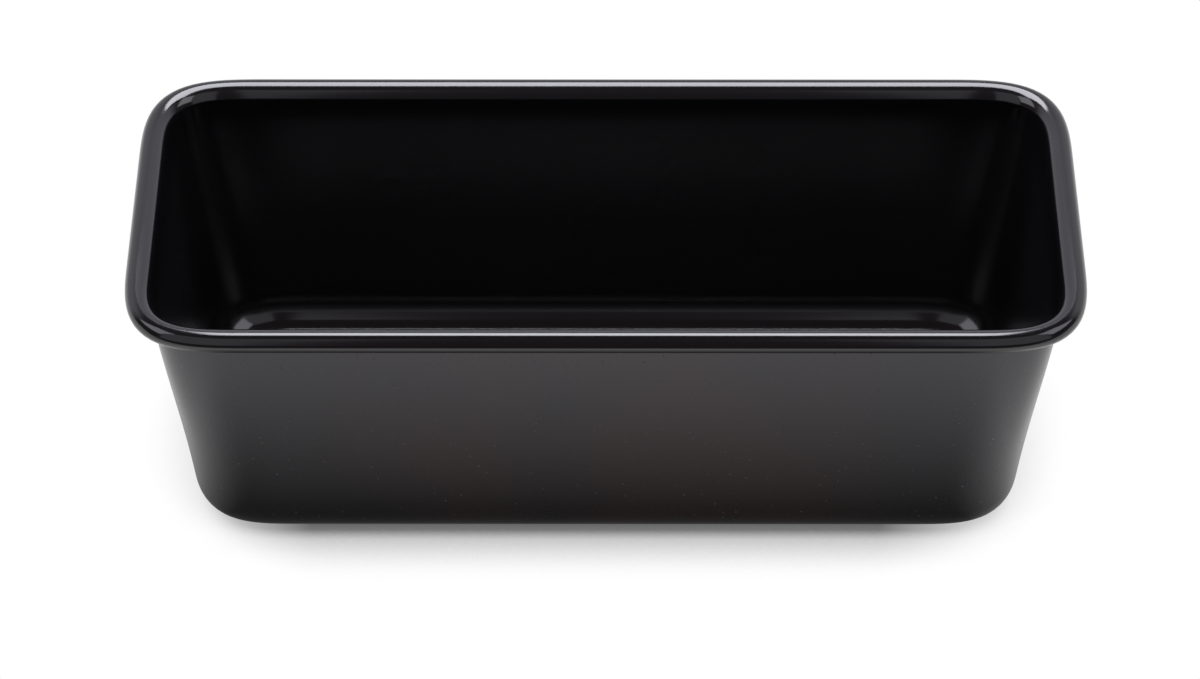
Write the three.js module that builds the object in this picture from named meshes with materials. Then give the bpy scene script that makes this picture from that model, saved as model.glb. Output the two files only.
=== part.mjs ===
// Rectangular cake pan: a deep-drawn steel tray whose rim is curled outwards round a stiffening wire.
// It is enamelled gloss black inside and over the rim, and satin black outside.
// Millimetres, +Z up. The origin is on the table, under the middle of the pan. X runs along the pan.
import * as THREE from "three";

// Sizes over the enamel
const LENGTH = 250; // over the rim, along X
const WIDTH = 112; // over the rim, along Y
const HEIGHT = 78; // from the table to the top of the rim
const END_DRAFT = 7.3; // lean of the two short walls, in degrees from upright
const SIDE_DRAFT = 3.1; // lean of the two long walls, in degrees from upright
const RIM_CORNER = 33.3; // run of the rim's corner along each side
const FLOOR_CORNER = 14; // run of the flat underside's corner along each side
const CORNER_FULLNESS = 3.5; // exponent of the corner curve: 2 is a quarter circle, more is squarer
const FOOT_RADIUS = 11; // outside radius where the walls turn into the underside
const SHOULDER_RADIUS = 4.2; // inside radius where the walls turn out into the rim

// Sheet, enamel and wire
const STEEL = 0.6; // thickness of the drawn sheet
const ENAMEL = 0.2; // thickness of each coat
const BOND = 0.03; // clearance between the sheet and a coat
const WIRE_DIAMETER = 3.7;
const WIRE_CLEARANCE = 0.2; // between the wire and the curl round it
const CURL_TUCK = 40; // turn of the curl past its lowest line, in degrees

// Facets
const CORNER_STEPS = 8;
const FOOT_STEPS = 7;
const WALL_STEPS = 4;
const SHOULDER_STEPS = 7;
const CURL_STEPS = 7; // from the top of the rim to its outermost line, and again from there to the edge
const WIRE_SIDES = 12;

// Distance from the middle of the sheet to the outer face of either coat
const HALF_BUILD = STEEL / 2 + BOND + ENAMEL;

// Curl: radii round the wire's centre line, and the angle of its edge, from the level outward line
const CURL_INSIDE = WIRE_DIAMETER / 2 + WIRE_CLEARANCE;
const CURL_RADIUS = CURL_INSIDE + STEEL / 2;
const BEAD_RADIUS = CURL_RADIUS + HALF_BUILD;
const BEAD_HEIGHT = HEIGHT - BEAD_RADIUS;
const CURL_END = -Math.PI / 2 - THREE.MathUtils.degToRad(CURL_TUCK);

// Foot and shoulder: radius and centre height of the arcs that the middle of the sheet follows
const FOOT_BEND = FOOT_RADIUS - HALF_BUILD;
const FOOT_HEIGHT = FOOT_RADIUS;
const SHOULDER_BEND = SHOULDER_RADIUS - HALF_BUILD;
const SHOULDER_HEIGHT = HEIGHT - SHOULDER_RADIUS;

// Top edge of the outside coat: just below the shoulder, where the curl hides it
const COAT_TOP = SHOULDER_HEIGHT - STEEL;

// Reach of a straight wall: how far the rim's centre line lies outside the edge of the flat floor
const BENDS = FOOT_BEND + SHOULDER_BEND;
const WALL_RISE = SHOULDER_HEIGHT - FOOT_HEIGHT;
function wallReach(draft) {
  const lean = THREE.MathUtils.degToRad(draft);
  return (BENDS + WALL_RISE * Math.sin(lean)) / Math.cos(lean);
}

// Points, with outward normals, of a rectangle with soft corners, counter-clockwise from its +X side.
function softRectangle(halfLength, halfWidth, corner) {
  const quarters = [[1, 1], [-1, 1], [-1, -1], [1, -1]];
  const stations = [];
  quarters.forEach(([sideX, sideY], quarter) => {
    for (let step = 0; step <= CORNER_STEPS; step += 1) {
      const turned = quarter % 2 === 0 ? step : CORNER_STEPS - step;
      const angle = (turned / CORNER_STEPS) * (Math.PI / 2);
      const spread = Math.cos(angle) ** CORNER_FULLNESS + Math.sin(angle) ** CORNER_FULLNESS;
      const across = Math.cos(angle) / spread ** (1 / CORNER_FULLNESS);
      const along = Math.sin(angle) / spread ** (1 / CORNER_FULLNESS);
      const normal = new THREE.Vector2(
        sideX * across ** (CORNER_FULLNESS - 1),
        sideY * along ** (CORNER_FULLNESS - 1),
      );
      stations.push({
        x: sideX * (halfLength - corner + corner * across),
        y: sideY * (halfWidth - corner + corner * along),
        normal: normal.normalize(),
      });
    }
  });
  return stations;
}

const RIM_HALF_LENGTH = LENGTH / 2 - BEAD_RADIUS;
const RIM_HALF_WIDTH = WIDTH / 2 - BEAD_RADIUS;
const FLOOR_HALF_LENGTH = RIM_HALF_LENGTH - wallReach(END_DRAFT);
const FLOOR_HALF_WIDTH = RIM_HALF_WIDTH - wallReach(SIDE_DRAFT);
const rimLine = softRectangle(RIM_HALF_LENGTH, RIM_HALF_WIDTH, RIM_CORNER - BEAD_RADIUS);
const floorEdge = softRectangle(FLOOR_HALF_LENGTH, FLOOR_HALF_WIDTH, FLOOR_CORNER);

// Slope of the wall at each station: the line that touches both the foot's arc and the shoulder's arc.
const wallSlopes = rimLine.map((rim, index) => {
  const edge = floorEdge[index];
  const reach = (rim.x - edge.x) * rim.normal.x + (rim.y - edge.y) * rim.normal.y;
  const span = Math.hypot(reach, WALL_RISE);
  return Math.atan2(WALL_RISE, reach) + Math.asin(BENDS / span);
});

// A point at a distance from a station, outwards in plan and up from a base height.
function besideStation(station, outwards, height) {
  return new THREE.Vector3(
    station.x + outwards * station.normal.x,
    station.y + outwards * station.normal.y,
    height,
  );
}

// One ring of the foot's arc, at a share of its turn. The offset is from the middle of the sheet,
// towards the food.
function footRing(offset, share) {
  const radius = FOOT_BEND - offset;
  return floorEdge.map((edge, index) => {
    const turn = share * wallSlopes[index];
    return besideStation(edge, radius * Math.sin(turn), FOOT_HEIGHT - radius * Math.cos(turn));
  });
}

// One ring of the shoulder's arc, at a share of its turn from the wall to the top of the rim.
function shoulderRing(offset, share) {
  const radius = SHOULDER_BEND + offset;
  return rimLine.map((rim, index) => {
    const tilt = (1 - share) * wallSlopes[index];
    return besideStation(rim, -radius * Math.sin(tilt), SHOULDER_HEIGHT + radius * Math.cos(tilt));
  });
}

// One ring of the curl, at an angle round the wire.
function curlRing(offset, angle) {
  const radius = CURL_RADIUS + offset;
  const height = BEAD_HEIGHT + radius * Math.sin(angle);
  return rimLine.map((rim) => besideStation(rim, radius * Math.cos(angle), height));
}

// Rings of the curl after the top of the rim, over its outermost line and on to its edge.
function curlRings(offset) {
  const shares = Array.from({ length: CURL_STEPS }, (_, step) => (step + 1) / CURL_STEPS);
  const outwards = shares.map((share) => curlRing(offset, (1 - share) * (Math.PI / 2)));
  const inwards = shares.map((share) => curlRing(offset, share * CURL_END));
  return [...outwards, ...inwards];
}

// One ring of the wall, level with a height.
function wallRing(offset, height) {
  const lower = footRing(offset, 1);
  const upper = shoulderRing(offset, 0);
  return lower.map((start, index) => {
    const share = (height - start.z) / (upper[index].z - start.z);
    return start.clone().lerp(upper[index], share);
  });
}

// Rings of the wall above the foot, up to the hidden top edge of the outside coat.
function wallRings(offset) {
  return Array.from({ length: WALL_STEPS }, (_, step) => {
    const share = (step + 1) / WALL_STEPS;
    return wallRing(offset, THREE.MathUtils.lerp(FOOT_HEIGHT, COAT_TOP, share));
  });
}

// Rings from 0 to the last step of an arc.
function arcRings(ringAt, offset, steps) {
  return Array.from({ length: steps + 1 }, (_, step) => ringAt(offset, step / steps));
}

// Rings of one face of the underside and the walls, from the edge of the floor up.
function outerFace(offset) {
  return [...arcRings(footRing, offset, FOOT_STEPS), ...wallRings(offset)];
}

// Rings of one face of the whole pan, from the edge of the floor up the walls and round the curl.
function panFace(offset) {
  const shoulder = arcRings(shoulderRing, offset, SHOULDER_STEPS);
  return [...outerFace(offset), ...shoulder, ...curlRings(offset)];
}

// Triangles between two neighbouring rings, given as the index of each ring's first point.
// A downward band is cut along the same diagonals as the upward band on the sheet's other face.
function bandTriangles(first, second, count, downward) {
  const triangles = [];
  for (let at = 0; at < count; at += 1) {
    const next = (at + 1) % count;
    if (downward) {
      triangles.push(first + at, second + at, first + next);
      triangles.push(first + next, second + at, second + next);
    } else {
      triangles.push(first + at, second + at, second + next);
      triangles.push(first + at, second + next, first + next);
    }
  }
  return triangles;
}

function meshGeometry(points, triangles) {
  const geometry = new THREE.BufferGeometry().setFromPoints(points);
  geometry.setIndex(triangles);
  geometry.computeVertexNormals();
  return geometry;
}

// A dish between two faces: both floors are closed at their middle and both rims are joined.
function dishGeometry(foodFace, backFace) {
  const rings = [...foodFace, ...backFace.toReversed()];
  const count = rings[0].length;
  const points = rings.flat();
  const triangles = [];
  for (let ring = 0; ring + 1 < rings.length; ring += 1) {
    const downward = ring >= foodFace.length;
    triangles.push(...bandTriangles(ring * count, (ring + 1) * count, count, downward));
  }
  const foodMiddle = points.length;
  const backMiddle = foodMiddle + 1;
  const backEdge = (rings.length - 1) * count;
  points.push(new THREE.Vector3(0, 0, foodFace[0][0].z), new THREE.Vector3(0, 0, backFace[0][0].z));
  for (let at = 0; at < count; at += 1) {
    const next = (at + 1) % count;
    triangles.push(foodMiddle, at, next);
    triangles.push(backMiddle, backEdge + next, backEdge + at);
  }
  return meshGeometry(points, triangles);
}

// A closed ring of round wire along the rim's centre line.
function wireGeometry() {
  const radius = WIRE_DIAMETER / 2;
  const count = rimLine.length;
  const points = [];
  const triangles = [];
  for (let side = 0; side < WIRE_SIDES; side += 1) {
    const angle = -(side / WIRE_SIDES) * 2 * Math.PI;
    const ring = rimLine.map((rim) =>
      besideStation(rim, radius * Math.cos(angle), BEAD_HEIGHT + radius * Math.sin(angle)),
    );
    points.push(...ring);
    const beside = (side + 1) % WIRE_SIDES;
    triangles.push(...bandTriangles(side * count, beside * count, count, false));
  }
  return meshGeometry(points, triangles);
}

function drawnSteel() {
  return new THREE.MeshStandardMaterial({ color: "#7d7f82", roughness: 0.45, metalness: 1 });
}

function galvanisedWire() {
  return new THREE.MeshStandardMaterial({ color: "#9a9d9f", roughness: 0.4, metalness: 1 });
}

function glossEnamel() {
  return new THREE.MeshStandardMaterial({ color: "#0a0a0b", roughness: 0.08, metalness: 0 });
}

function satinEnamel() {
  return new THREE.MeshStandardMaterial({ color: "#1c1a1b", roughness: 0.4, metalness: 0 });
}

function namedMesh(name, geometry, material) {
  const mesh = new THREE.Mesh(geometry, material);
  mesh.name = name;
  return mesh;
}

function steelPan() {
  const geometry = dishGeometry(panFace(STEEL / 2), panFace(-STEEL / 2));
  return namedMesh("steel_pan", geometry, drawnSteel());
}

function rimWire() {
  return namedMesh("rim_wire", wireGeometry(), galvanisedWire());
}

function insideEnamel() {
  const geometry = dishGeometry(panFace(HALF_BUILD), panFace(HALF_BUILD - ENAMEL));
  return namedMesh("inside_enamel", geometry, glossEnamel());
}

function outsideEnamel() {
  const geometry = dishGeometry(outerFace(ENAMEL - HALF_BUILD), outerFace(-HALF_BUILD));
  return namedMesh("outside_enamel", geometry, satinEnamel());
}

const pan = new THREE.Group();
pan.name = "rectangular_cake_pan";
pan.add(steelPan(), rimWire(), insideEnamel(), outsideEnamel());

export default pan;
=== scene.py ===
"""Looks of the rectangular cake pan: enamel, steel, rim wire, table, studio light and camera."""

import math

import bpy
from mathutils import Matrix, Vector


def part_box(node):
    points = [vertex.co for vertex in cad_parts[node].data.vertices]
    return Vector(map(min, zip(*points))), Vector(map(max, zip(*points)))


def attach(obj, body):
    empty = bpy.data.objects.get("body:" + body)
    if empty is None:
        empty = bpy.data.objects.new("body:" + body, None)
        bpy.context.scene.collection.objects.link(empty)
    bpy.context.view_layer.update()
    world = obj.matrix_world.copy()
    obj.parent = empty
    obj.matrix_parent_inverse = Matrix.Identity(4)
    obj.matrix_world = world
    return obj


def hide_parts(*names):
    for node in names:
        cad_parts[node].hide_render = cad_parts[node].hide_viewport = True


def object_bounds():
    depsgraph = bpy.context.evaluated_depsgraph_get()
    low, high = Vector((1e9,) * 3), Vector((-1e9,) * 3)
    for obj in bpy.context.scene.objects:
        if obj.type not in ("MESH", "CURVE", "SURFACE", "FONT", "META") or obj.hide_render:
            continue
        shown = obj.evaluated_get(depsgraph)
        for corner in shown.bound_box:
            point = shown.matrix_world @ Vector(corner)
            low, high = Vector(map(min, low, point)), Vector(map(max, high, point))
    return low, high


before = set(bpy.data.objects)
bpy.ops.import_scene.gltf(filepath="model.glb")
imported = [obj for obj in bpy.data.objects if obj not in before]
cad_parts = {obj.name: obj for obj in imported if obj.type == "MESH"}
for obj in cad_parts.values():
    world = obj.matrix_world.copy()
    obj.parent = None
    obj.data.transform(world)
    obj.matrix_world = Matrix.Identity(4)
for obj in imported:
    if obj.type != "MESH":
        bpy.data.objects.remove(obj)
CAD_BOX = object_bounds()

MM = 0.001

# Form of the pan, as it is drawn and enamelled
END_DRAFT = math.radians(7.3)
SIDE_DRAFT = math.radians(3.1)
RIM_CORNER = 33.3 * MM
FLOOR_CORNER = 14 * MM
CORNER_FULLNESS = 3.5
FOOT_RADIUS = 11 * MM
SHOULDER_RADIUS = 4.2 * MM
STEEL = 0.6 * MM
ENAMEL = 0.2 * MM
BOND = 0.03 * MM
CURL_TUCK = math.radians(40)

# Fineness of the modelled skins
CORNER_SEGMENTS = 26
FOOT_STEPS = 14
WALL_STEPS = 10
SHOULDER_STEPS = 16
CURL_STEPS = 28
TUCK_STEPS = 5
SHARP_EDGE = math.radians(35)

# Sizes that follow from the frame: the wire lies in the middle of the rolled rim
WIRE_LOW, WIRE_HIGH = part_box("rim_wire")
WIRE_RADIUS = (WIRE_HIGH.z - WIRE_LOW.z) / 2
RIM_HALF_LENGTH = WIRE_HIGH.x - WIRE_RADIUS
RIM_HALF_WIDTH = WIRE_HIGH.y - WIRE_RADIUS
BEAD_HEIGHT = (WIRE_HIGH.z + WIRE_LOW.z) / 2
BEAD_RADIUS = CAD_BOX[1].z - BEAD_HEIGHT
HALF_BUILD = STEEL / 2 + BOND + ENAMEL
CURL_RADIUS = BEAD_RADIUS - HALF_BUILD
FOOT_BEND = FOOT_RADIUS - HALF_BUILD
SHOULDER_BEND = SHOULDER_RADIUS - HALF_BUILD
SHOULDER_HEIGHT = CAD_BOX[1].z - SHOULDER_RADIUS
COAT_TOP = SHOULDER_HEIGHT - STEEL
WALL_RISE = SHOULDER_HEIGHT - FOOT_RADIUS

# A narrow border round the flat floor, well inside its corners, so that it can't fold over itself
FLOOR_BORDER = FLOOR_CORNER / 4

# A corner of this fullness as the profile of a vertex bevel, and how fast its run grows outwards
CORNER_PROFILE = 2 ** (-2 / CORNER_FULLNESS)
CORNER_GROWTH = (math.sqrt(2) - 1) / (math.sqrt(2) * (1 - 2 ** (-1 / CORNER_FULLNESS)))

# The two pairs of walls, each as the half distance between the rim's centre lines and the lean
ENDS = (RIM_HALF_LENGTH, END_DRAFT)
SIDES = (RIM_HALF_WIDTH, SIDE_DRAFT)
LEAST_DRAFT = min(END_DRAFT, SIDE_DRAFT)

# The corners between them, as the run along the rim's centre line and the lean
CORNERS = (RIM_CORNER - BEAD_RADIUS, (END_DRAFT + SIDE_DRAFT) / 2)

# What the lamps look at
PAN_MIDDLE = (0, 0, 40 * MM)


def even_steps(first, last, steps):
    """Values from the first to the last in even steps, without the first."""
    return [first + (last - first) * step / steps for step in range(1, steps + 1)]


def arc_reach(radius, height):
    """How far a circle reaches sideways at a height from its centre."""
    return math.sqrt(max(radius**2 - height**2, 0))


def straight_wall(offset, draft):
    """Heights at which a leaning wall leaves the foot's arc and enters the shoulder's."""
    foot_end = FOOT_RADIUS - (FOOT_BEND - offset) * math.sin(draft)
    shoulder_start = SHOULDER_HEIGHT + (SHOULDER_BEND + offset) * math.sin(draft)
    return foot_end, shoulder_start


def half_size(walls, offset, height):
    """Half distance between two opposite walls at a height, on a face beside the sheet's middle."""
    rim, draft = walls
    foot = FOOT_BEND - offset
    floor = rim - (FOOT_BEND + SHOULDER_BEND + WALL_RISE * math.sin(draft)) / math.cos(draft)
    foot_end, shoulder_start = straight_wall(offset, draft)
    if height <= foot_end:
        return floor + arc_reach(foot, FOOT_RADIUS - height)
    if height >= shoulder_start:
        return rim - arc_reach(SHOULDER_BEND + offset, height - SHOULDER_HEIGHT)
    return floor + foot * math.cos(draft) + (height - foot_end) * math.tan(draft)


def corner_run(offset, height):
    """Run of a corner along each side at a height, without a kink at the foot or the rim."""
    rim, draft = CORNERS
    foot_end, shoulder_start = straight_wall(offset, draft)
    if height <= foot_end:
        return FLOOR_CORNER + CORNER_GROWTH * arc_reach(FOOT_BEND - offset, FOOT_RADIUS - height)
    if height >= shoulder_start:
        return rim - CORNER_GROWTH * arc_reach(SHOULDER_BEND + offset, height - SHOULDER_HEIGHT)
    low = corner_run(offset, foot_end)
    high = corner_run(offset, shoulder_start)
    swell = CORNER_GROWTH * math.tan(draft) * (shoulder_start - foot_end)
    share = (height - foot_end) / (shoulder_start - foot_end)
    eased = 3 * share**2 - 2 * share**3
    start_slope = 2 * share**3 - 3 * share**2 + share
    return low + (high - low) * eased + swell * start_slope


def wall_rings(offset, heights):
    """Rings at heights between the floor and the top of the rim."""
    return [
        (
            half_size(ENDS, offset, height),
            half_size(SIDES, offset, height),
            corner_run(offset, height),
            height,
        )
        for height in heights
    ]


def foot_heights(offset):
    """Heights of the rings of the foot's arc, from the floor."""
    foot = FOOT_BEND - offset
    turns = [0, *even_steps(0, math.pi / 2 - LEAST_DRAFT, FOOT_STEPS)]
    return [FOOT_RADIUS - foot * math.cos(turn) for turn in turns]


def pan_rings(offset):
    """Rings of one whole face of the pan, from the floor to the edge of the rolled rim."""
    shoulder = SHOULDER_BEND + offset
    curl = CURL_RADIUS + offset
    heights = foot_heights(offset)
    shoulder_start = SHOULDER_HEIGHT + shoulder * math.sin(LEAST_DRAFT)
    heights += even_steps(heights[-1], shoulder_start, WALL_STEPS)
    turns = even_steps(LEAST_DRAFT, math.pi / 2, SHOULDER_STEPS)
    heights += [SHOULDER_HEIGHT + shoulder * math.sin(turn) for turn in turns]
    turns = even_steps(math.pi / 2, -math.pi / 2, CURL_STEPS)
    turns += even_steps(-math.pi / 2, -math.pi / 2 - CURL_TUCK, TUCK_STEPS)
    over = [
        (
            RIM_HALF_LENGTH + curl * math.cos(turn),
            RIM_HALF_WIDTH + curl * math.cos(turn),
            CORNERS[0] + CORNER_GROWTH * curl * math.cos(turn),
            BEAD_HEIGHT + curl * math.sin(turn),
        )
        for turn in turns
    ]
    return wall_rings(offset, heights) + over


def outer_rings(offset):
    """Rings of the underside and the outer walls, up to the coat's hidden edge under the rim."""
    heights = foot_heights(offset)
    heights += even_steps(heights[-1], COAT_TOP, WALL_STEPS)
    return wall_rings(offset, heights)


def add_ring(half_length, half_width, corner, height):
    """Adds a flat plate to the mesh being edited and softens its four corners."""
    bpy.ops.mesh.select_all(action="DESELECT")
    bpy.ops.mesh.primitive_plane_add(size=2, location=(0, 0, height))
    bpy.ops.transform.resize(value=(half_length, half_width, 1), center_override=(0, 0, height))
    bpy.ops.mesh.bevel(
        offset=corner, segments=CORNER_SEGMENTS, profile=CORNER_PROFILE, affect="VERTICES"
    )


def skin_from_rings(name, rings):
    """A skin with a flat floor: a plate, and each further ring bridged to the edge so far."""
    bpy.ops.object.select_all(action="DESELECT")
    bpy.ops.mesh.primitive_plane_add(location=(0, 0, 0))
    skin = bpy.context.object
    skin.name = name
    bpy.ops.object.mode_set(mode="EDIT")
    bpy.ops.mesh.select_mode(type="EDGE")
    bpy.ops.mesh.delete(type="VERT")
    add_ring(*rings[0])
    bpy.ops.mesh.select_all(action="SELECT")
    bpy.ops.mesh.inset(thickness=FLOOR_BORDER)
    for ring in rings[1:]:
        add_ring(*ring)
        bpy.ops.mesh.delete(type="ONLY_FACE")
        bpy.ops.mesh.select_non_manifold(
            extend=False, use_wire=True, use_boundary=True, use_multi_face=False,
            use_non_contiguous=False, use_verts=False,
        )
        bpy.ops.mesh.bridge_edge_loops()
    bpy.ops.mesh.select_all(action="SELECT")
    bpy.ops.mesh.normals_make_consistent(inside=False)
    bpy.ops.object.mode_set(mode="OBJECT")
    return skin


def face_floor(skin, upwards):
    """Turns the whole skin so that its floor faces up, or down."""
    floor = max(skin.data.polygons, key=lambda face: face.area * abs(face.normal.z))
    if (floor.normal.z > 0) == upwards:
        return
    bpy.ops.object.mode_set(mode="EDIT")
    bpy.ops.mesh.select_all(action="SELECT")
    bpy.ops.mesh.flip_normals()
    bpy.ops.object.mode_set(mode="OBJECT")


def thicken(skin, thickness):
    """Gives a skin its thickness behind its face and smooths it, apart from its edges."""
    bpy.ops.object.select_all(action="DESELECT")
    skin.select_set(True)
    bpy.context.view_layer.objects.active = skin
    solid = skin.modifiers.new("thickness", "SOLIDIFY")
    solid.thickness = thickness
    solid.offset = -1
    solid.use_even_offset = True
    bpy.ops.object.modifier_apply(modifier=solid.name)
    bpy.ops.object.shade_smooth_by_angle(angle=SHARP_EDGE)


def finish_piece(piece, node, material):
    """Puts a finished piece in the place of its node."""
    piece.data.materials.clear()
    piece.data.materials.append(material)
    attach(piece, "root")
    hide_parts(node)


def linear(hex_colour):
    """An sRGB hex colour as linear red, green, blue and alpha."""
    parts = [int(hex_colour[i : i + 2], 16) / 255 for i in (1, 3, 5)]
    return [p / 12.92 if p <= 0.04045 else ((p + 0.055) / 1.055) ** 2.4 for p in parts] + [1.0]


def add_node(tree, kind, inputs=None, **settings):
    """Adds a node with its settings, and sets or links its inputs."""
    node = tree.nodes.new(kind)
    for name, value in settings.items():
        setattr(node, name, value)
    for name, value in (inputs or {}).items():
        if isinstance(value, bpy.types.NodeSocket):
            tree.links.new(value, node.inputs[name])
        else:
            node.inputs[name].default_value = value
    return node


def new_material(name):
    """An empty node material, with its tree and its Principled shader."""
    material = bpy.data.materials.new(name)
    material.use_nodes = True
    tree = material.node_tree
    return material, tree, tree.nodes["Principled BSDF"]


def gloss_enamel():
    """Vitreous enamel, fired to a glassy black: a mirror with a faint orange peel and hardly any
    colour. It is glossiest on the foot and the rim, and a little hazier on the walls between."""
    peel_waves = 1 / (6 * MM)
    peel_strength = 0.25
    peel_depth = 0.02 * MM
    haze_patches = 1 / (40 * MM)
    patchiness = 0.04
    glassy = 0.1
    hazy = 0.25
    foot_gloss_end = 0.3 * FOOT_RADIUS
    wall_haze_start = 0.7 * FOOT_RADIUS
    wall_haze_end = SHOULDER_HEIGHT - FOOT_RADIUS
    rim_gloss_start = COAT_TOP
    material, tree, shader = new_material("gloss_vitreous_enamel")
    shader.inputs["Base Color"].default_value = linear("#101012")
    shader.inputs["IOR"].default_value = 1.65
    place = add_node(tree, "ShaderNodeTexCoord").outputs["Object"]
    peel = add_node(
        tree, "ShaderNodeTexNoise", {"Vector": place, "Scale": peel_waves, "Detail": 1.0}
    )
    haze = add_node(
        tree, "ShaderNodeTexNoise", {"Vector": place, "Scale": haze_patches, "Detail": 3.0}
    )
    height = add_node(tree, "ShaderNodeSeparateXYZ", {"Vector": place})
    above_foot = add_node(
        tree, "ShaderNodeMapRange",
        {
            "Value": height.outputs["Z"], "From Min": foot_gloss_end, "From Max": wall_haze_start,
            "To Min": glassy, "To Max": hazy,
        },
    )
    below_rim = add_node(
        tree, "ShaderNodeMapRange",
        {
            "Value": height.outputs["Z"], "From Min": wall_haze_end, "From Max": rim_gloss_start,
            "To Min": hazy, "To Max": glassy,
        },
    )
    wall_haze = add_node(
        tree, "ShaderNodeMath", {0: above_foot.outputs["Result"], 1: below_rim.outputs["Result"]},
        operation="MINIMUM",
    )
    rough = add_node(
        tree, "ShaderNodeMath",
        {0: haze.outputs["Fac"], 1: patchiness, 2: wall_haze.outputs["Value"]},
        operation="MULTIPLY_ADD",
    )
    bump = add_node(
        tree, "ShaderNodeBump",
        {"Height": peel.outputs["Fac"], "Strength": peel_strength, "Distance": peel_depth},
    )
    tree.links.new(rough.outputs["Value"], shader.inputs["Roughness"])
    tree.links.new(bump.outputs["Normal"], shader.inputs["Normal"])
    return material


def satin_enamel():
    """Satin black enamel: a dry grain spreads the reflections and tiny raised flecks catch the light.
    The middle of the long sides carries a painted reflection, warm brown patches in the base colour
    for something brown mirrored there. Grain and flecks are drawn coarser than the real ones, which
    would be too fine to show."""
    # The brown patches below are a painted reflection of something brown in front, not a colour of
    # the enamel
    painted_reflection_patches = 1 / (45 * MM)
    patch_edge, patch_core = 0.3, 0.6
    painted_reflection_end, painted_reflection_gone = 45 * MM, 80 * MM
    fleck_spacing = 1 / (3 * MM)
    fleck_reach = 0.11
    fleck_height = 0.09 * MM
    grain_size = 1 / (0.7 * MM)
    grain_strength = 0.3
    grain_depth = 0.02 * MM
    smoothest, driest = 0.22, 0.3
    material, tree, shader = new_material("satin_speckled_enamel")
    shader.inputs["IOR"].default_value = 1.7
    shader.inputs["Specular Tint"].default_value = linear("#fcf9ff")
    place = add_node(tree, "ShaderNodeTexCoord").outputs["Object"]
    tone = add_node(
        tree, "ShaderNodeTexNoise", {"Vector": place, "Scale": painted_reflection_patches, "Detail": 2.0}
    )
    patches = add_node(
        tree, "ShaderNodeMapRange",
        {"Value": tone.outputs["Fac"], "From Min": patch_edge, "From Max": patch_core},
    )
    half = add_node(tree, "ShaderNodeVectorMath", {0: place}, operation="ABSOLUTE")
    along = add_node(tree, "ShaderNodeSeparateXYZ", {"Vector": half.outputs["Vector"]})
    middle = add_node(
        tree, "ShaderNodeMapRange",
        {
            "Value": along.outputs["X"], "From Min": painted_reflection_end, "From Max": painted_reflection_gone,
            "To Min": 1.0, "To Max": 0.0,
        },
    )
    # Painted reflection: the brown patches, kept to the middle of the long sides
    painted_brown_reflection = add_node(
        tree, "ShaderNodeMath", {0: patches.outputs["Result"], 1: middle.outputs["Result"]},
        operation="MULTIPLY",
    )
    # Black base colour with the painted brown reflection mixed in
    black_with_painted_reflection = add_node(
        tree, "ShaderNodeMix",
        {"Factor": painted_brown_reflection.outputs["Value"], "A": linear("#121213"), "B": linear("#2a1a14")},
        data_type="RGBA",
    )
    flecks = add_node(tree, "ShaderNodeTexVoronoi", {"Vector": place, "Scale": fleck_spacing})
    fleck = add_node(
        tree, "ShaderNodeMapRange",
        {
            "Value": flecks.outputs["Distance"], "From Max": fleck_reach,
            "To Min": 1.0, "To Max": 0.0,
        },
    )
    colour = add_node(
        tree, "ShaderNodeMix",
        {"Factor": fleck.outputs["Result"], "A": black_with_painted_reflection.outputs["Result"], "B": linear("#6a6668")},
        data_type="RGBA",
    )
    grain = add_node(
        tree, "ShaderNodeTexNoise", {"Vector": place, "Scale": grain_size, "Detail": 2.0}
    )
    rough = add_node(
        tree, "ShaderNodeMapRange",
        {"Value": grain.outputs["Fac"], "To Min": smoothest, "To Max": driest},
    )
    dry_grain = add_node(
        tree, "ShaderNodeBump",
        {"Height": grain.outputs["Fac"], "Strength": grain_strength, "Distance": grain_depth},
    )
    raised = add_node(
        tree, "ShaderNodeBump",
        {
            "Height": fleck.outputs["Result"], "Distance": fleck_height,
            "Normal": dry_grain.outputs["Normal"],
        },
    )
    tree.links.new(colour.outputs["Result"], shader.inputs["Base Color"])
    tree.links.new(rough.outputs["Result"], shader.inputs["Roughness"])
    tree.links.new(raised.outputs["Normal"], shader.inputs["Normal"])
    return material


def drawn_steel():
    """Cold-rolled steel sheet, drawn into a die: grey metal with faint upright draw marks."""
    mark_width = 1 / (0.8 * MM)
    upright_stretch = 0.03
    smoothest, dullest = 0.35, 0.55
    material, tree, shader = new_material("drawn_steel_sheet")
    shader.inputs["Metallic"].default_value = 1.0
    place = add_node(tree, "ShaderNodeTexCoord").outputs["Object"]
    stretch = add_node(
        tree, "ShaderNodeMapping", {"Vector": place, "Scale": (1.0, 1.0, upright_stretch)}
    )
    marks = add_node(
        tree, "ShaderNodeTexNoise", {"Vector": stretch.outputs["Vector"], "Scale": mark_width}
    )
    tone = add_node(
        tree, "ShaderNodeMix",
        {"Factor": marks.outputs["Fac"], "A": linear("#7a7c7e"), "B": linear("#96989a")},
        data_type="RGBA",
    )
    rough = add_node(
        tree, "ShaderNodeMapRange",
        {"Value": marks.outputs["Fac"], "To Min": smoothest, "To Max": dullest},
    )
    tree.links.new(tone.outputs["Result"], shader.inputs["Base Color"])
    tree.links.new(rough.outputs["Result"], shader.inputs["Roughness"])
    return material


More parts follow.
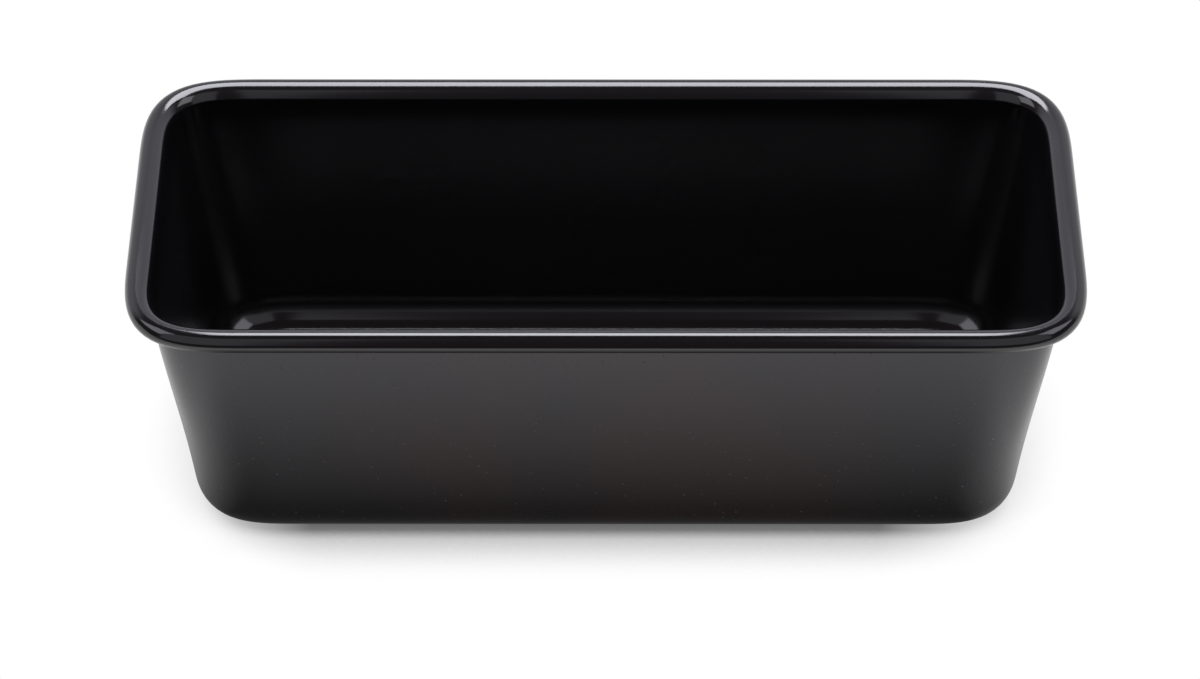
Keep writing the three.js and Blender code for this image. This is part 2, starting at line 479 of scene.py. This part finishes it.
def galvanised_wire():
    """Galvanised steel wire: dull zinc with a patchy spangle."""
    spangle_size = 1 / (3 * MM)
    smoothest, dullest = 0.4, 0.6
    material, tree, shader = new_material("galvanised_steel_wire")
    shader.inputs["Metallic"].default_value = 1.0
    place = add_node(tree, "ShaderNodeTexCoord").outputs["Object"]
    spangle = add_node(tree, "ShaderNodeTexVoronoi", {"Vector": place, "Scale": spangle_size})
    tone = add_node(
        tree, "ShaderNodeMix",
        {"Factor": spangle.outputs["Color"], "A": linear("#8d9092"), "B": linear("#a9acae")},
        data_type="RGBA",
    )
    rough = add_node(
        tree, "ShaderNodeMapRange",
        {"Value": spangle.outputs["Color"], "To Min": smoothest, "To Max": dullest},
    )
    tree.links.new(tone.outputs["Result"], shader.inputs["Base Color"])
    tree.links.new(rough.outputs["Result"], shader.inputs["Roughness"])
    return material


def make_inside_coat():
    """Gloss coat on the floor and inner walls, over the rolled rim and round to its edge."""
    coat = skin_from_rings("inside_enamel_coat", pan_rings(HALF_BUILD))
    face_floor(coat, upwards=True)
    thicken(coat, ENAMEL)
    finish_piece(coat, "inside_enamel", gloss_enamel())


def make_outside_coat():
    """Satin coat on the underside and the outer walls."""
    coat = skin_from_rings("outside_enamel_coat", outer_rings(-HALF_BUILD))
    face_floor(coat, upwards=False)
    thicken(coat, ENAMEL)
    finish_piece(coat, "outside_enamel", satin_enamel())


def make_steel():
    """The drawn sheet between the coats."""
    sheet = skin_from_rings("drawn_steel_sheet", pan_rings(STEEL / 2))
    face_floor(sheet, upwards=True)
    thicken(sheet, STEEL)
    finish_piece(sheet, "steel_pan", drawn_steel())


def dress_wire():
    """The wire keeps its own solid and gets its zinc."""
    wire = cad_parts["rim_wire"]
    wire.data.materials.clear()
    wire.data.materials.append(galvanised_wire())


def mirrored_shadow(tree, place, quarter):
    """How white the table is in reflections: dark in front of the foot, lit from behind."""
    corner_cut = 15 * MM
    half_length = half_size(ENDS, -HALF_BUILD, FOOT_RADIUS) - corner_cut
    half_width = half_size(SIDES, -HALF_BUILD, FOOT_RADIUS)
    shadow_start = 10 * MM
    shadow_end = 80 * MM
    deepest = 0.1
    turn_to_light = 30 * MM
    end_fade = 2.2
    beyond = add_node(
        tree, "ShaderNodeVectorMath",
        {0: quarter, 1: (end_fade, 1, 1), 2: (-end_fade * half_length, -half_width, 0)},
        operation="MULTIPLY_ADD",
    )
    outside = add_node(
        tree, "ShaderNodeVectorMath", {0: beyond.outputs["Vector"]}, operation="MAXIMUM"
    )
    away = add_node(
        tree, "ShaderNodeVectorMath", {0: outside.outputs["Vector"]}, operation="LENGTH"
    )
    fading = add_node(
        tree, "ShaderNodeMapRange",
        {
            "Value": away.outputs["Value"], "From Min": shadow_start, "From Max": shadow_end,
            "To Min": deepest,
        },
    )
    axes = add_node(tree, "ShaderNodeSeparateXYZ", {"Vector": place})
    lit_side = add_node(
        tree, "ShaderNodeMapRange",
        {"Value": axes.outputs["Y"], "From Min": -turn_to_light, "From Max": turn_to_light},
    )
    white = add_node(
        tree, "ShaderNodeMath", {0: fading.outputs["Result"], 1: lit_side.outputs["Result"]},
        operation="MAXIMUM",
    )
    return white.outputs["Value"]


def contact_shadow(tree, quarter):
    """How white the table is to the camera: a soft shadow round the foot, paler at the ends."""
    shadow_reach = 34 * MM
    closed_in, open_air = 0.25, 0.69
    middle_end, corner_start = 76 * MM, 102 * MM
    middle_white, corner_white = 0.14, 0.6
    along = add_node(tree, "ShaderNodeSeparateXYZ", {"Vector": quarter})
    darkest = add_node(
        tree, "ShaderNodeMapRange",
        {
            "Value": along.outputs["X"], "From Min": middle_end, "From Max": corner_start,
            "To Min": middle_white, "To Max": corner_white,
        },
    )
    contact = add_node(tree, "ShaderNodeAmbientOcclusion", {"Distance": shadow_reach})
    white = add_node(
        tree, "ShaderNodeMapRange",
        {
            "Value": contact.outputs["AO"], "From Min": closed_in, "From Max": open_air,
            "To Min": darkest.outputs["Result"], "To Max": 1.0,
        },
    )
    return white.outputs["Result"]


def white_laminate():
    """A plain table top: white to the camera and in reflections, apart from the pan's soft shadow."""
    shadow_shift = 3 * MM
    material, tree, shader = new_material("white_matt_laminate")
    shader.inputs["Base Color"].default_value = linear("#e6e6e6")
    shader.inputs["Roughness"].default_value = 0.7
    material.cycles.emission_sampling = "NONE"
    place = add_node(tree, "ShaderNodeTexCoord").outputs["Object"]
    shifted = add_node(
        tree, "ShaderNodeVectorMath", {0: place, 1: (shadow_shift, 0, 0)}, operation="ADD"
    )
    folded = add_node(
        tree, "ShaderNodeVectorMath", {0: shifted.outputs["Vector"]}, operation="ABSOLUTE"
    )
    quarter = folded.outputs["Vector"]
    path = add_node(tree, "ShaderNodeLightPath").outputs
    tone = add_node(
        tree, "ShaderNodeMix",
        {
            "Factor": path["Is Camera Ray"],
            "A": mirrored_shadow(tree, place, quarter),
            "B": contact_shadow(tree, quarter),
        },
    )
    white = add_node(tree, "ShaderNodeEmission", {"Strength": tone.outputs["Result"]})
    mirrored = add_node(
        tree, "ShaderNodeMath", {0: path["Is Glossy Ray"], 1: path["Is Transmission Ray"]},
        operation="MAXIMUM",
    )
    seen = add_node(
        tree, "ShaderNodeMath", {0: path["Is Camera Ray"], 1: mirrored.outputs["Value"]},
        operation="MAXIMUM",
    )
    surface = add_node(
        tree, "ShaderNodeMixShader",
        {0: seen.outputs["Value"], 1: shader.outputs["BSDF"], 2: white.outputs["Emission"]},
    )
    tree.links.new(surface.outputs["Shader"], tree.nodes["Material Output"].inputs["Surface"])
    return material


def make_table():
    """A white table top whose front edge lies just below the picture."""
    size = 3.0
    front_edge = -0.17
    bpy.ops.object.select_all(action="DESELECT")
    bpy.ops.mesh.primitive_plane_add(size=size, location=(0, front_edge + size / 2, 0))
    table = bpy.context.object
    table.name = "table"
    bpy.ops.object.transform_apply(location=True, rotation=False, scale=False)
    table.data.materials.append(white_laminate())


def aim(thing, target):
    """Turns a lamp or the camera so that it looks at a point."""
    thing.rotation_euler = (Vector(target) - thing.location).to_track_quat("-Z", "Y").to_euler()


def add_softbox(name, location, size, radiance, target=PAN_MIDDLE):
    """A rectangular lamp of an even brightness, where 1 is white, that faces a point."""
    width, height = size
    data = bpy.data.lights.new(name, "AREA")
    data.shape = "RECTANGLE"
    data.size = width
    data.size_y = height
    data.energy = radiance * math.pi * width * height
    data.color = linear("#f6f6ff")[:3]
    lamp = bpy.data.objects.new(name, data)
    lamp.location = location
    bpy.context.scene.collection.objects.link(lamp)
    aim(lamp, target)
    return lamp


def light_studio():
    """A softbox above and behind, tall dim ones in front, and side cards seen in the gloss alone."""
    front_height = 1.05
    card_height = 1.22
    add_softbox("overhead_softbox", location=(0, 0.2455, 0.5225), size=(0.32, 0.309), radiance=8.5)
    for side, name in ((-1, "left"), (1, "right")):
        add_softbox(
            name + "_front_softbox", location=(side * 0.466, -0.755, front_height),
            size=(0.75, 2.0), radiance=0.4, target=(0, 0, front_height),
        )
        card = add_softbox(
            name + "_card", location=(side * 0.985, -0.174, card_height), size=(0.81, 1.26),
            radiance=1.9, target=(0, 0, card_height),
        )
        card.visible_diffuse = False


def paint_room():
    """A dim room, with a pale sweep low behind the table."""
    room = (0.106, 0.088, 0.097, 1.0)
    pale_sweep = (0.74, 0.73, 0.8, 1.0)
    sweep_edge, sweep_full = 0.2, 0.5
    sweep_top, room_start = 0.6, 0.75
    world = bpy.data.worlds.new("studio_room")
    bpy.context.scene.world = world
    world.use_nodes = True
    tree = world.node_tree
    place = add_node(tree, "ShaderNodeTexCoord").outputs["Generated"]
    axes = add_node(tree, "ShaderNodeSeparateXYZ", {"Vector": place})
    behind = add_node(
        tree, "ShaderNodeMapRange",
        {"Value": axes.outputs["Y"], "From Min": sweep_edge, "From Max": sweep_full},
    )
    low = add_node(
        tree, "ShaderNodeMapRange",
        {
            "Value": axes.outputs["Z"], "From Min": sweep_top, "From Max": room_start,
            "To Min": 1.0, "To Max": 0.0,
        },
    )
    sweep = add_node(
        tree, "ShaderNodeMath", {0: behind.outputs["Result"], 1: low.outputs["Result"]},
        operation="MULTIPLY",
    )
    tone = add_node(
        tree, "ShaderNodeMix", {"Factor": sweep.outputs["Value"], "A": room, "B": pale_sweep},
        data_type="RGBA",
    )
    tree.links.new(tone.outputs["Result"], tree.nodes["Background"].inputs["Color"])


def place_camera():
    """A long lens from the front, about 40 degrees above the table."""
    azimuth = math.radians(0.11)
    elevation = math.radians(40.19)
    roll = math.radians(-0.04)
    distance = 1.365
    target = Vector((-1.585 * MM, 0, 31.05 * MM))
    data = bpy.data.cameras.new("camera")
    data.sensor_width = 36
    data.sensor_fit = "HORIZONTAL"
    data.lens = 151.76
    camera = bpy.data.objects.new("camera", data)
    bpy.context.scene.collection.objects.link(camera)
    level = math.cos(elevation)
    camera.location = target + distance * Vector(
        (math.sin(azimuth) * level, -math.cos(azimuth) * level, math.sin(elevation))
    )
    aim(camera, target)
    camera.rotation_euler.rotate_axis("Z", roll)
    bpy.context.scene.camera = camera


bpy.context.scene.view_settings.view_transform = "Standard"
make_steel()
make_inside_coat()
make_outside_coat()
dress_wire()
make_table()
light_studio()
paint_room()
place_camera()
